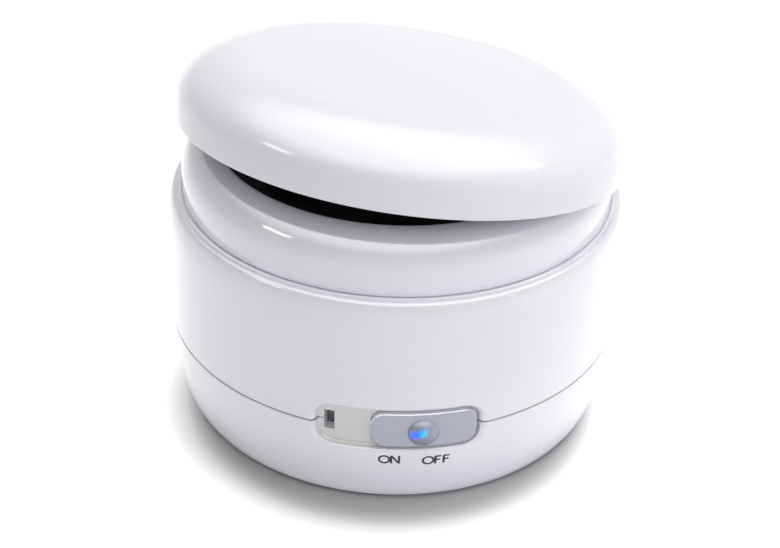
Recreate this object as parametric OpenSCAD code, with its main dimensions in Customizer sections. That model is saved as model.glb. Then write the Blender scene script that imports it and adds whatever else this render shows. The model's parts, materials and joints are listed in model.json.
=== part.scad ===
// Contact lens cleaner: a round battery-powered tub that shakes a lens tray in cleaning fluid.
// The origin is on the axis of the round body, at the plane that the feet stand on.
// +Z is up, and the sliding switch faces -Y. The hinged lid stands ajar, as photographed.

/* [Casing] */
// Largest radius of the casing
body_r = 43; // [42.6:0.1:46]
// Radius of the casing at its bottom edge
base_r = 38.8; // [38.4:0.1:39.6]
// Height at which the bowl reaches its largest radius
bowl_h = 25; // [24:0.5:30]
// Wall thickness of the casing
wall = 2.2; // [2:0.1:2.4]
// Height of the bottom edge above the table
foot_drop = 0.4; // [0.3:0.1:0.6]
// Height of the seam between the casing halves
seam_z = 17.4; // [17:0.1:17.8]
// Width of the seam
seam_gap = 0.3; // [0.2:0.05:0.4]
// Height of the ledge round the collar
ledge_z = 43.5; // [43:0.1:44.5]
// How far in the ledge starts from the largest radius
shoulder_in = 1.6; // [1.4:0.1:1.8]
// Height of the rounded shoulder
shoulder_h = 5; // [4:0.5:6]

/* [Collar and tank] */
// Outer radius of the collar ring
collar_r = 40.1; // [39.8:0.05:40.2]
// Height of the collar's upright wall
collar_wall_h = 4.2; // [3.8:0.1:4.4]
// Height of the collar ring
collar_h = 10.5; // [9.8:0.1:10.6]
// Radius of the collar's rim
rim_r = 34.2; // [34:0.1:34.8]
// Thickness of the collar ring's shell
collar_t = 1.8; // [1.4:0.1:2]
// Inner radius of the tank's mouth
tank_r = 31.8; // [31.4:0.1:32]
// Wall thickness of the tank
tank_t = 1.4; // [1.2:0.1:1.5]
// Depth of the tank below its own lip
tank_depth = 22.5; // [21.5:0.5:23]

/* [Lid] */
// Outer radius of the lid's lip
lid_r = 41.6; // [41.4:0.05:42.2]
// Height of the lid from its lip to its rounded edge's top
lid_h = 13; // [12.8:0.1:16]
// Rise of the lid's crown above that
lid_crown = 0.7; // [0.4:0.1:1.5]
// Radial size of the lid's rounded edge
lid_round_r = 13.4; // [12:0.2:14]
// Height of the lid's rounded edge
lid_round_h = 8.8; // [8:0.2:9]
// Wall thickness of the lid
lid_t = 1.1; // [1:0.05:1.2]
// Angle that the lid stands open
ajar_deg = 11.5; // [10:0.5:14]
// Direction of the lid's hinge, turned from the back to the right
hinge_az = 33; // [20:1:40]
// Radius of the hinge knuckles
knuckle_r = 1.9; // [1.8:0.05:2]
// Radius of the hinge pin
hinge_pin_r = 0.9; // [0.7:0.05:1]

/* [Switch] */
// Length of the sliding switch plate
slider_l = 19.1; // [18:0.1:19.6]
// Height of the sliding switch plate
slider_h = 7.3; // [6.8:0.1:7.5]
// Thickness of the sliding switch plate
slider_t = 1.1; // [0.9:0.05:1.2]
// Place of the plate at OFF, in degrees to the right of the front
slider_az = 8.7; // [8:0.1:9]
// Turn of the plate round the body from OFF to ON, in degrees
slider_travel = 11; // [10:0.1:11]
// Height of the switch recess
recess_h = 8.6; // [8.3:0.1:9.4]
// Radius of the round dome on the plate
dome_r = 3; // [2.6:0.1:3.1]

/* [Inside] */
// Radius of an AAA cell
cell_r = 5.25; // [5:0.05:5.25]
// Length of an AAA cell
cell_l = 44.5; // [43.5:0.1:44.5]
// Radius of the motor can
motor_r = 4; // [3.4:0.1:4.1]
// Inner radius of a lens well
well_r = 9.8; // [9:0.1:10]

/* [Hidden] */
$fn = 96;
e = 0.01;

// Casing outline: a bowl that swells by a power curve, a straight band and a rounded shoulder.
bowl_power = 2.45;
bowl_root = 2.18;
bowl_steps = 12;
shoulder_steps = 8;
bottom_chamfer = 0.5;
seam_chamfer = 0.25;
seam_half = seam_gap / 2;
function bowl_radius(z) = base_r + (body_r - base_r)
    * pow(1 - pow(max(0, (bowl_h - z) / bowl_h), bowl_power), 1 / bowl_root);
function bowl_points() = [for (i = [0:bowl_steps])
    let (z = foot_drop + bottom_chamfer + (bowl_h - foot_drop - bottom_chamfer) * i / bowl_steps)
    [bowl_radius(z), z]];
function shoulder_points() = [for (i = [0:shoulder_steps])
    let (a = 90 * i / shoulder_steps)
    [body_r - shoulder_in * (1 - cos(a)), ledge_z - shoulder_h + shoulder_h * sin(a)]];
module casing_outline() {
    difference() {
        polygon(concat([[0, foot_drop], [base_r - bottom_chamfer, foot_drop]],
            bowl_points(), shoulder_points(), [[0, ledge_z]]));
        // Both edges of the seam are chamfered
        polygon([[body_r + 1, seam_z - seam_half - 1], [bowl_radius(seam_z) - seam_chamfer, seam_z - seam_half],
            [bowl_radius(seam_z) - seam_chamfer, seam_z + seam_half], [body_r + 1, seam_z + seam_half + 1]]);
    }
}
module casing_inline() {
    polygon(concat([[0, foot_drop + wall], [base_r - 2 * wall, foot_drop + wall]],
        [for (p = bowl_points()) if (p[1] > foot_drop + 2 * wall) [p[0] - wall, p[1]]],
        [[body_r - wall, ledge_z - shoulder_h], [body_r - wall - shoulder_in, ledge_z - wall],
        [0, ledge_z - wall]]));
}

// Switch recess: a round-ended pocket across the seam, with a raised pad behind it.
recess_z = 17.2;
recess_floor_r = 41.3;
recess_az = 2.3;
recess_l = 29.6;
recess_end_r = 3.2;
bevel = 0.8;
bevel_r = 42.4;
pad_r = 39.4;
pad_z0 = 11;
pad_z1 = 24;
pad_half_az = 26;
slot_z = 17.2;
slot_h = 4;
neck_l = 2.2;
run_gap = 0.25;
slider_z = 17.1;
slider_r0 = recess_floor_r + 0.25;
slider_r1 = slider_r0 + slider_t;
slider_corner = 2.6;
window_az = -14.7;
window_z = 17.4;
window_w = 1.9;
window_h = 4;

// A block that faces the front at azimuth az, width w, height h, between radii r0 and r1.
module front_block(az, z, w, h, r0, r1, corner = 0) {
    rotate([0, 0, az]) translate([0, -r0, z]) rotate([90, 0, 0])
        linear_extrude(r1 - r0) rounded(w, h, corner);
}
module rounded(w, h, corner) {
    if (corner > 0) {
        for (s = [-1, 1]) translate([0, s * (h / 2 - corner)]) square([w - 2 * corner, 2 * corner], center = true);
        square([w, h - 2 * corner], center = true);
        square([w - 2 * corner, h], center = true);
        for (x = [-1, 1], y = [-1, 1]) translate([x * (w / 2 - corner), y * (h / 2 - corner)]) circle(corner);
    } else {
        square([w, h], center = true);
    }
}
module ring(r0, r1, z0, z1) {
    translate([0, 0, z0]) difference() {
        cylinder(r = r1, h = z1 - z0);
        translate([0, 0, -1]) cylinder(r = r0, h = z1 - z0 + 2);
    }
}
module drum(r, z0, z1) {
    translate([0, 0, z0]) cylinder(r = r, h = z1 - z0);
}
module recess_cut() {
    difference() {
        front_block(recess_az, recess_z, recess_l, recess_h, 30, 50, recess_end_r);
        drum(recess_floor_r, 0, 40);
    }
    difference() {
        front_block(recess_az, recess_z, recess_l + 2 * bevel, recess_h + 2 * bevel, 30, 50, recess_end_r + bevel);
        drum(bevel_r, 0, 40);
    }
    front_block(window_az, window_z, window_w, window_h, 36, 50);
    // The slot that the switch carrier's neck slides in
    intersection() {
        ring(36, 44, slot_z - slot_h / 2, slot_z + slot_h / 2);
        sector(slider_az - slider_travel - slot_end_az, slider_az + slot_end_az, 50);
    }
}
slot_end_az = asin((neck_l / 2 + run_gap) / pad_r);
// A wedge from azimuth a0 to a1, measured from the front towards the right.
module sector(a0, a1, r) {
    m = (a0 + a1) / 2;
    linear_extrude(100) polygon([[0, 0], [r * sin(a0), -r * cos(a0)],
        [1.1 * r * sin(m), -1.1 * r * cos(m)], [r * sin(a1), -r * cos(a1)]]);
}
module switch_pad() {
    intersection() {
        ring(pad_r, body_r - 0.6 * wall, pad_z0, pad_z1);
        sector(recess_az - pad_half_az, recess_az + pad_half_az, 60);
        rotate_extrude() casing_outline();
    }
}
module casing_body() {
    difference() {
        union() {
            rotate_extrude() difference() {
                casing_outline();
                casing_inline();
            }
            switch_pad();
        }
        recess_cut();
    }
}

// Screw bosses that hold the casing halves together.
boss_ring_r = 36.3;
boss_r = 3;
boss_top_z = 26;
screw_r = 1.25;
screw_head_r = 2.3;
screw_head_h = 1.6;
counterbore_h = 5;
screw_fit = 0.1;
screw_bite_h = 6;
boss_az = [60, 125, 235, 300];
module at_bosses() {
    for (a = boss_az) rotate([0, 0, a]) translate([0, -boss_ring_r, 0]) children();
}

// Battery mouth in the floor, closed by a twist cover.
mouth_r = 27.3;
cover_gap = 0.3;
lug_r = 29.2;
lug_az = 20;
lug_t = 1;
lug_gap = 0.15;
floor_top = foot_drop + wall;
cover_turn = 40;
bay_plate_z = floor_top + lug_t + 2 * lug_gap + 0.1;
bay_plate_t = 1.2;
post_ring_r = 32;
post_r = 2.2;
post_az = [90, 210, 330];
module at_posts() {
    for (a = post_az) rotate([0, 0, a]) translate([0, -post_ring_r, 0]) children();
}
foot_ring_r = 33;
foot_r = 3;
foot_pocket = 0.8;
foot_az = [15, 105, 195, 285];
module at_feet() {
    for (a = foot_az) rotate([0, 0, a]) translate([0, -foot_ring_r, 0]) children();
}

module lower_casing() {
    color("white") difference() {
        union() {
            intersection() {
                casing_body();
                drum(60, 0, seam_z - seam_half);
            }
            at_bosses() drum(boss_r, foot_drop + 1, seam_z - seam_half);
            at_posts() drum(post_r, foot_drop + 1, bay_plate_z);
        }
        drum(mouth_r, -1, floor_top + 1);
        for (s = [0, 180]) rotate([0, 0, s]) intersection() {
            drum(lug_r + cover_gap, -1, floor_top + 1);
            translate([0, 0, -1]) sector(cover_turn - lug_az / 2 - 2, cover_turn + lug_az / 2 + 2, 50);
        }
        at_bosses() {
            drum(screw_r + screw_fit, -1, seam_z + 1);
            drum(screw_head_r + 0.2, -1, foot_drop + counterbore_h);
        }
        at_posts() drum(screw_r, foot_drop + wall, bay_plate_z + 1);
        at_feet() drum(foot_r, -1, foot_drop + foot_pocket);
    }
}

// The deck that the tank hangs from, inside the ledge.
deck_hole_r = tank_r + tank_t + 0.4;
// Hinge frame: the hinge is at the back, turned by hinge_az.
hinge_r = 44.4;
hinge_z = ledge_z + 1.3;
knuckle_l = 12;
ear_l = 5;
ear_gap = 0.3;
module hinge_frame() {
    rotate([0, 0, -hinge_az]) children();
}
module ear(x0, l) {
    translate([x0, 0, 0]) rotate([90, 0, 90]) linear_extrude(l) {
        translate([hinge_r, hinge_z]) circle(knuckle_r);
        polygon([[body_r - 1.4 * wall, ledge_z - shoulder_h - 2.5], [body_r - 0.2, ledge_z - shoulder_h - 2.5],
            [hinge_r + knuckle_r * 0.86, hinge_z - knuckle_r / 2], [hinge_r - knuckle_r * 0.86, hinge_z + knuckle_r / 2 - 0.4],
            [body_r - shoulder_in - 0.2, ledge_z - 0.8]]);
    }
}
module upper_casing() {
    color("white") difference() {
        union() {
            intersection() {
                casing_body();
                drum(60, seam_z + seam_half, ledge_z + 1);
            }
            intersection() {
                union() {
                    at_bosses() drum(boss_r, seam_z + seam_half, boss_top_z);
                    at_bosses() translate([-1, -5.5, seam_z + seam_half]) cube([2, 5.5, boss_top_z - seam_z - seam_half]);
                }
                drum(body_r - wall / 2, 0, 50);
            }
            hinge_frame() {
                ear(-knuckle_l / 2 - ear_gap - ear_l, ear_l);
                ear(knuckle_l / 2 + ear_gap, ear_l);
            }
        }
        drum(deck_hole_r, ledge_z - 2 * wall, ledge_z + 1);
        at_bosses() drum(screw_r, seam_z - 1, boss_top_z - 1.5);
        hinge_frame() translate([0, hinge_r, hinge_z]) rotate([0, 90, 0])
            cylinder(r = hinge_pin_r + 0.02, h = 40, center = true);
    }
}

// Collar ring: an upright wall, a rounded crown and an inner skirt that clamps the tank's flange.
collar_top = ledge_z + collar_h;
flange_t = 1.4;
gasket_t = 0.8;
flange_r = 36.6;
flange_top = ledge_z + gasket_t + flange_t;
crown_steps = 10;
function crown_points(inset) = [for (i = [0:crown_steps])
    let (a = 90 * i / crown_steps,
        w = collar_r - rim_r - inset,
        h = collar_h - collar_wall_h - inset)
    [rim_r + w * cos(a), ledge_z + collar_wall_h + h * sin(a)]];
skirt_r = tank_r + tank_t + 0.1;
rim_round = 0.4;
module collar_ring() {
    color("white") rotate_extrude() difference() {
        polygon(concat([[collar_r, ledge_z]], crown_points(0),
            [[rim_r - rim_round, collar_top - rim_round / 2], [skirt_r, collar_top - 2 * rim_round],
            [skirt_r, flange_top], [flange_r + 0.2, flange_top], [flange_r + 0.2, ledge_z]]));
        polygon(concat([[collar_r - collar_t, flange_top + 1.2]],
            [for (p = crown_points(collar_t)) if (p[0] > skirt_r + 1.6) p],
            [[skirt_r + 1.4, ledge_z + collar_h - collar_t - 0.4], [skirt_r + 1.4, flange_top - 1],
            [flange_r, flange_top - 1]]));
    }
}

// Tank: a black cup that hangs by a flange on the deck, with an inner step for the lens tray.
tank_lip_z = collar_top - 1.2;
tank_floor_z = tank_lip_z - tank_depth;
tray_z = 44;
tank_step = 1.6;
tank_low_r = tank_r - tank_step;
tank_corner = 3;
tank_floor_t = 2.6;
tank_under = tank_floor_z - tank_floor_t;
module tank_cup() {
    color("black") difference() {
        rotate_extrude() polygon(concat(
        [[0, tank_under]],
        [[tank_low_r - tank_corner, tank_under], [tank_low_r + 0.6, tank_under + 1.6]],
        [[tank_low_r + tank_t, tank_floor_z + 2], [tank_low_r + tank_t, tray_z - 3],
        [tank_r + tank_t, tray_z - 1.4], [tank_r + tank_t, ledge_z + gasket_t],
        [flange_r, ledge_z + gasket_t], [flange_r, flange_top], [tank_r + tank_t, flange_top],
        [tank_r + tank_t, tank_lip_z - 0.3], [tank_r + tank_t - 0.3, tank_lip_z],
        [tank_r + 0.4, tank_lip_z], [tank_r, tank_lip_z - 0.5], [tank_r, tray_z], [tank_low_r, tray_z]],
        [for (i = [0:6]) let (a = 90 * i / 6)
            [tank_low_r - tank_corner * (1 - cos(a)), tank_floor_z + tank_corner * (1 - sin(a))]],
        [[0, tank_floor_z]]));
        at_motor_screws() drum(motor_screw_r, tank_under - 1, tank_under + motor_screw_bite);
    }
}
module tank_gasket() {
    color("dimgray") ring(deck_hole_r + 0.3, flange_r, ledge_z, ledge_z + gasket_t);
}

// Lid outline above its own lip: a nearly upright side, a rounded edge and a shallow crown.
lid_gap = 0.4;
lid_seat_z = ledge_z + lid_gap;
lid_swell = 0.2;
lid_lip_t = 0.95;
round_steps = 10;
crown_top_steps = 5;
function lid_points(t) = let (rm = lid_r + lid_swell - t, h0 = lid_h - lid_round_h, flat_r = lid_r + lid_swell - lid_round_r)
    concat([[rm, h0]],
        [for (i = [1:round_steps]) let (a = 90 * i / round_steps)
            [rm - (lid_round_r - t) * (1 - cos(a)), h0 + (lid_round_h - t) * sin(a)]],
        [for (i = [1:crown_top_steps]) let (r = flat_r * (1 - i / crown_top_steps))
            [r, lid_h - t + lid_crown * (1 - pow(r / flat_r, 2))]]);
module ajar() {
    hinge_frame() translate([0, hinge_r, hinge_z]) rotate([-ajar_deg, 0, 0])
        translate([0, -hinge_r, -hinge_z]) children();
}
module lid_shell() {
    color("white") ajar() difference() {
        union() {
            translate([0, 0, lid_seat_z]) rotate_extrude() difference() {
                polygon(concat([[0, 0.3], [lid_r - 0.2, 0.0], [lid_r, 0.25]], lid_points(0)));
                polygon(concat([[0, -1], [lid_r - lid_lip_t, -1], [lid_r - lid_lip_t, 1]], lid_points(lid_t)));
            }
            // Hinge knuckle and the web that joins it to the lid's side
            translate([-knuckle_l / 2, 0, 0]) rotate([90, 0, 90]) linear_extrude(knuckle_l) {
                translate([hinge_r, hinge_z]) circle(knuckle_r);
                polygon([[lid_r - 0.75, hinge_z - 0.7], [hinge_r - 1.2, hinge_z - 0.7],
                    [hinge_r - 1.2, hinge_z + 1.5], [lid_r - 0.75, hinge_z + 2.2]]);
            }
        }
        translate([0, hinge_r, hinge_z]) rotate([0, 90, 0])
            cylinder(r = hinge_pin_r + 0.06, h = 40, center = true);
    }
}
liner_r = 30.6;
liner_t = 1.2;
plug_h = 3;
plug_t = 1.6;
seal_r = tank_r - 0.3;
seal_h = 1.4;
ceiling_z = lid_seat_z + lid_h - lid_t;
liner_flat_r = lid_r + lid_swell - lid_round_r - 0.2;
module lid_liner() {
    color("whitesmoke") ajar() difference() {
        union() {
            drum(liner_flat_r, ceiling_z - liner_t, ceiling_z - 0.05);
            drum(liner_r, ceiling_z - liner_t - plug_h, ceiling_z - liner_t + e);
        }
        drum(liner_r - plug_t, ceiling_z - liner_t - plug_h - 1, ceiling_z - 2 * liner_t);
        ring(liner_r - 0.8, liner_r + 5, ceiling_z - liner_t - plug_h + 0.7, ceiling_z - liner_t - plug_h + 0.7 + seal_h);
    }
}
module lid_seal() {
    color("dimgray") ajar()
        ring(liner_r - 0.8, seal_r, ceiling_z - liner_t - plug_h + 0.7, ceiling_z - liner_t - plug_h + 0.7 + seal_h);
}
module hinge_pin() {
    color("silver") hinge_frame() translate([0, hinge_r, hinge_z]) rotate([0, 90, 0])
        cylinder(r = hinge_pin_r, h = knuckle_l + 2 * ear_gap + 2 * ear_l - 0.4, center = true);
}

// Lens tray: a plate with two wells and a lifting knob; each well has a pierced push-on cap.
well_x = 13.4;
well_t = 1.2;
tray_t = 1.6;
tray_fit = 0.4;
tray_lift = 0.1;
well_floor_z = tank_floor_z + 3.2;
tray_top = tray_z + tray_lift + tray_t;
knob_r = 1.7;
knob_h = 6;
drain_r = 1.1;
slot_count = 8;
cap_t = 1.4;
cap_r = well_r + well_t + 0.5;
cap_plug_h = 2;
cap_fit = 0.3;
module at_wells() {
    for (s = [-1, 1]) translate([s * well_x, 0, 0]) children();
}
module lens_tray() {
    color("lightgray") difference() {
        union() {
            drum(tank_r - tray_fit, tray_z + tray_lift, tray_top);
            at_wells() drum(well_r + well_t, well_floor_z, tray_top);
            drum(knob_r * 0.6, tray_top - e, tray_top + knob_h - 2);
            translate([0, 0, tray_top + knob_h - 2]) cylinder(r1 = knob_r * 0.6, r2 = knob_r, h = 1);
            drum(knob_r, tray_top + knob_h - 1, tray_top + knob_h);
        }
        at_wells() drum(well_r, well_floor_z + well_t, tray_top + 1);
        at_wells() for (a = [0:360 / slot_count:359]) rotate([0, 0, a])
            translate([well_r * 0.6, 0, well_floor_z - 1]) cylinder(r = drain_r, h = 4);
        // Gaps that let the fluid flow past the tray
        for (s = [-1, 1]) translate([0, s * 22, tray_z - 1]) linear_extrude(4) rounded(20, 6, 2.9);
    }
}
module lens_cap(side) {
    translate([side * well_x, 0, tray_top + 0.1]) difference() {
        union() {
            cylinder(r = cap_r, h = cap_t);
            translate([0, 0, -cap_plug_h]) cylinder(r = well_r - cap_fit, h = cap_plug_h);
            translate([side * (cap_r - 1.5), 0, cap_t / 2]) cube([3.4, 5, cap_t], center = true);
        }
        translate([0, 0, -cap_plug_h - 1]) cylinder(r = well_r - cap_fit - 1.2, h = cap_plug_h + 1);
        for (a = [0:60:359]) rotate([0, 0, a]) translate([well_r * 0.52, 0, -1]) cylinder(r = 1.2, h = 4);
        translate([0, 0, -1]) cylinder(r = 1.2, h = 4);
    }
}
module lens_cap_left() {
    color("deepskyblue") lens_cap(-1);
}
module lens_cap_right() {
    color("white") lens_cap(1);
}

// Sliding switch: plate, dome and the carrier that runs in the slot behind it.
carrier_flange_t = 0.8;
carrier_l = 9;
carrier_h = 7;
carrier_r1 = pad_r - 0.2;
carrier_r0 = carrier_r1 - carrier_flange_t;
knob_w = 2.2;
knob_travel_r = 37;
fork_gap = knob_w + 0.7;
fork_t = 1;
fork_r0 = 36;
switch_z = 14.4;
module slider_frame() {
    rotate([0, 0, slider_az]) children();
}
module slider_cap() {
    color("silver") slider_frame() difference() {
        intersection() {
            front_block(0, slider_z, slider_l, slider_h, 36, 46, slider_corner);
            ring(slider_r0, slider_r1, 5, 30);
        }
        translate([0, -36, slider_z]) rotate([90, 0, 0]) cylinder(r = dome_r - 0.4, h = 12);
    }
}
module slider_dome() {
    dome_rise = 1.6;
    sphere_r = (dome_r * dome_r + dome_rise * dome_rise) / (2 * dome_rise);
    color("lightsteelblue") slider_frame() translate([0, -slider_r1, slider_z]) rotate([90, 0, 0]) {
        intersection() {
            translate([0, 0, dome_rise - sphere_r]) sphere(sphere_r);
            translate([0, 0, 0.05]) cylinder(r = dome_r + 1, h = 5);
        }
        translate([0, 0, -slider_t]) cylinder(r = dome_r - 0.42, h = slider_t + 0.1);
    }
}
module slider_carrier() {
    color("whitesmoke") slider_frame() {
        // The neck stops behind the plate
        intersection() {
            front_block(0, slot_z, neck_l, slot_h - 0.5, carrier_r0, slider_r0 + 2);
            ring(carrier_r0 - 0.5, slider_r0, 5, 30);
        }
        intersection() {
            front_block(0, slot_z, carrier_l, carrier_h, 30, 46);
            ring(carrier_r0, carrier_r1, 5, 30);
        }
        for (s = [-1, 1]) translate([s * (fork_gap + fork_t) / 2 - fork_t / 2, -carrier_r0 - 0.2, switch_z - 1.4])
            cube([fork_t, carrier_r0 + 0.2 - fork_r0, 3.4]);
    }
}
module window_insert() {
    color("dimgray") intersection() {
        front_block(window_az, window_z, window_w + 2, window_h + 1.6, 36, 50);
        ring(pad_r - 0.9, pad_r - 0.05, 5, 30);
    }
}

// Slide switch under the front of the board. Its knob is pushed by the carrier's fork.
switch_az = slider_az - slider_travel / 2;
knob_slide = 2 * knob_travel_r * sin(slider_travel / 2);
switch_l = knob_slide + knob_w + 6;
switch_h = 4.6;
switch_front = 35.4;
switch_depth = 4.4;
board_z = switch_z + switch_h / 2;
board_t = 1.6;
module switch_frame() {
    rotate([0, 0, switch_az]) children();
}
module slide_switch_body() {
    color("dimgray") switch_frame() difference() {
        translate([-switch_l / 2, -switch_front, switch_z - switch_h / 2]) cube([switch_l, switch_depth, switch_h]);
        translate([-(knob_slide + knob_w) / 2 - 0.3, -switch_front - 1, switch_z - knob_w / 2 - 0.15])
            cube([knob_slide + knob_w + 0.6, 3, knob_w + 0.3]);
    }
}
module slide_switch_knob() {
    color("black") switch_frame() translate([knob_slide / 2 - knob_w / 2, -knob_travel_r - 0.6, switch_z - knob_w / 2])
        cube([knob_w, knob_travel_r + 0.6 - switch_front + 1.8, knob_w]);
}

// Board: rests on the battery bay and carries the switch, a light and the drive chips.
board_front = 34.6;
board_half_w = 15;
board_back = 8;
board_hole_y = 3;
board_hole_x = 12;
module board_holes(r, z0, z1) {
    for (s = [-1, 1]) translate([s * board_hole_x, board_hole_y, 0]) drum(r, z0, z1);
}
module circuit_board() {
    color("darkgreen") difference() {
        translate([0, 0, board_z]) linear_extrude(board_t) polygon([[-board_half_w, -board_front + 2],
            [-board_half_w + 2, -board_front], [board_half_w - 2, -board_front], [board_half_w, -board_front + 2],
            [board_half_w, board_back], [-board_half_w, board_back]]);
        board_holes(screw_r + 0.1, board_z - 1, board_z + board_t + 1);
    }
}
board_top = board_z + board_t;
module board_chips() {
    color("black") {
        translate([-10, -26, board_top]) cube([6, 5, 1.2]);
        translate([3, -27, board_top]) cube([3, 3, 1]);
        translate([-2, -18, board_top]) cube([4, 2.4, 1]);
        translate([8, -24, board_top]) cylinder(r = 2, h = 3);
    }
}
led_l = 3;
module led() {
    color("deepskyblue") rotate([0, 0, slider_az]) translate([-led_l / 2, -board_front + 0.4, board_top])
        cube([led_l, 1.6, 1.4]);
}

// Motor under the tank: can, bracket, shaft and off-centre weight.
motor_l = 12;
motor_z = tank_under - motor_r - 1;
motor_y = 14;
shaft_r = 0.75;
shaft_fit = 0.05;
weight_r = 3.4;
weight_t = 4;
bracket_w = 6;
bracket_t = 1;
module motor_frame() {
    translate([-2, motor_y, motor_z]) children();
}
module motor_can() {
    color("silver") motor_frame() difference() {
        rotate([0, 90, 0]) cylinder(r = motor_r, h = motor_l, center = true);
        translate([motor_l / 2 - 4, 0, 0]) rotate([0, 90, 0]) cylinder(r = shaft_r + shaft_fit, h = 10);
    }
}
module motor_shaft() {
    color("gray") motor_frame() translate([motor_l / 2 - 3.9, 0, 0]) rotate([0, 90, 0])
        cylinder(r = shaft_r, h = 3.9 + 1 + weight_t + 0.5);
}
module eccentric_weight() {
    color("darkgoldenrod") motor_frame() translate([motor_l / 2 + 1, 0, 0]) rotate([0, 90, 0]) difference() {
        cylinder(r = weight_r, h = weight_t);
        translate([0, 0, -1]) cylinder(r = shaft_r, h = weight_t + 2);
        translate([-10, shaft_r + 0.5, -1]) cube([20, 10, weight_t + 2]);
    }
}
bracket_foot = 4.4;
motor_screw_r = 0.8;
motor_screw_bite = 1.6;
motor_screw_y = motor_r + bracket_t + bracket_foot / 2;
module at_motor_screws() {
    for (s = [-1, 1]) translate([-2, motor_y + s * motor_screw_y, 0]) children();
}
module motor_bracket() {
    bracket_top = tank_under - motor_z;
    bracket_y = motor_r + bracket_t;
    color("whitesmoke") difference() {
        motor_frame() difference() {
            union() {
                rotate([0, 90, 0]) cylinder(r = bracket_y, h = bracket_w, center = true);
                translate([-bracket_w / 2, -bracket_y, 0]) cube([bracket_w, 2 * bracket_y, bracket_top]);
                translate([-bracket_w / 2, -bracket_y - bracket_foot, bracket_top - bracket_t])
                    cube([bracket_w, 2 * (bracket_y + bracket_foot), bracket_t]);
            }
            rotate([0, 90, 0]) cylinder(r = motor_r, h = bracket_w + 2, center = true);
        }
        at_motor_screws() drum(motor_screw_r + screw_fit, motor_z, tank_under + 1);
    }
}
module wire(points, r) {
    for (i = [0:len(points) - 2]) let (a = points[i], b = points[i + 1], d = b - a) {
        translate(a) rotate([0, acos(d[2] / norm(d)), atan2(d[1], d[0])]) cylinder(r = r, h = norm(d));
        if (i > 0) translate(a) sphere(lead_elbow * r);
    }
}
lead_r = 0.45;
lead_elbow = 1.3;
motor_lead_x = -2 - motor_l / 2;
module motor_leads() {
    // Square sleeves stand at the bends
    sleeve = 2 * lead_elbow * lead_r;
    color("crimson") for (s = [-1, 1])
        let (y0 = motor_y + 1.5 * s, y1 = board_back - 1.3 + 0.8 * s, x1 = motor_lead_x - 2,
            d = [0, y1 - y0, board_top + 1.5 - motor_z]) {
            translate([x1, y0, motor_z]) rotate([0, 90, 0]) cylinder(r = lead_r, h = motor_lead_x - x1);
            translate([x1, y0, motor_z]) rotate([0, acos(d[2] / norm(d)), atan2(d[1], d[0])]) cylinder(r = lead_r, h = norm(d));
            translate([x1, y1, board_top]) cylinder(r = lead_r, h = 1.5);
            for (p = [[x1, y0, motor_z], [x1, y1, board_top + 1.5]]) translate(p) cube(sleeve, center = true);
        }
}

// Battery bay: two AAA cells side by side under the board.
cell_pitch = 2 * cell_r + 0.5;
cell_z = bay_plate_z + cell_r + 0.3;
bay_in_l = cell_l + 3.4;
bay_in_w = 2 * cell_pitch + 0.3;
bay_t = 1.3;
bay_plate_r = 35;
bay_roof = board_z;
module battery_bay() {
    color("whitesmoke") difference() {
        union() {
            intersection() {
                drum(bay_plate_r, bay_plate_z, bay_plate_z + bay_plate_t);
                translate([0, 0, 10]) cube([2 * bay_plate_r, 2 * bay_plate_r, 40], center = true);
            }
            translate([-bay_in_l / 2 - bay_t, -bay_in_w / 2 - bay_t, bay_plate_z])
                cube([bay_in_l + 2 * bay_t, bay_in_w + 2 * bay_t, bay_roof - bay_plate_z]);
        }
        translate([-bay_in_l / 2, -bay_in_w / 2, bay_plate_z - 1])
            cube([bay_in_l, bay_in_w, bay_roof - bay_plate_z + 1 - bay_t + 0.1]);
        at_bosses() drum(boss_r + 0.4, 0, 20);
        at_posts() drum(screw_r + 0.1, 0, 20);
        board_holes(screw_r, bay_roof - 3, bay_roof + 1);
        // Slots that the contacts' solder tabs come up through
        for (s = [-1, 1]) translate([s * (contact_x + contact_t / 2), 0, bay_roof])
            cube([contact_t + 0.2, tab_w + 0.2, 4], center = true);
    }
}

// Cells lie along X, turned end for end, each with its button at the sprung contact's far side.
nub_r = 1.9;
nub_l = 1;
contact_t = 0.4;
contact_w = 8;
tab_w = 3;
module cell(side) {
    translate([-side * cell_l / 2, side * cell_pitch / 2, cell_z]) rotate([0, side * 90, 0]) {
        cylinder(r = cell_r, h = cell_l - nub_l);
        cylinder(r = nub_r, h = cell_l);
    }
}
module battery_cell_front() {
    color("royalblue") cell(-1);
}
module battery_cell_back() {
    color("royalblue") cell(1);
}
contact_x = bay_in_l / 2 - contact_t;
spring_r = 2.6;
spring_wire = 0.7;
module battery_springs() {
    color("silver") for (s = [-1, 1]) translate([-s * contact_x, s * cell_pitch / 2, cell_z]) rotate([0, s * 90, 0])
        ring(spring_r - spring_wire, spring_r, 0, contact_x - cell_l / 2);
}
module battery_contacts() {
    color("silver") for (s = [-1, 1]) {
        translate([s * (contact_x + contact_t / 2), 0, cell_z]) {
            cube([contact_t, cell_pitch + contact_w, contact_w], center = true);
            translate([0, 0, (bay_roof - cell_z) / 2]) cube([contact_t, tab_w, bay_roof - cell_z], center = true);
        }
        // Dimple that meets the cell's button
        translate([s * contact_x, s * cell_pitch / 2, cell_z]) rotate([0, -s * 90, 0])
            cylinder(r1 = nub_r + 0.6, r2 = nub_r, h = contact_x - cell_l / 2);
    }
}
module battery_leads() {
    color("crimson") for (s = [-1, 1])
        wire([[s * (contact_x + contact_t / 2), 0, bay_roof], [s * (contact_x + contact_t / 2), 0, board_top + 1.4],
            [s * (board_half_w - 1.5), -2, board_top + 1.4], [s * (board_half_w - 1.5), -2, board_top]], lead_r);
}

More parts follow.
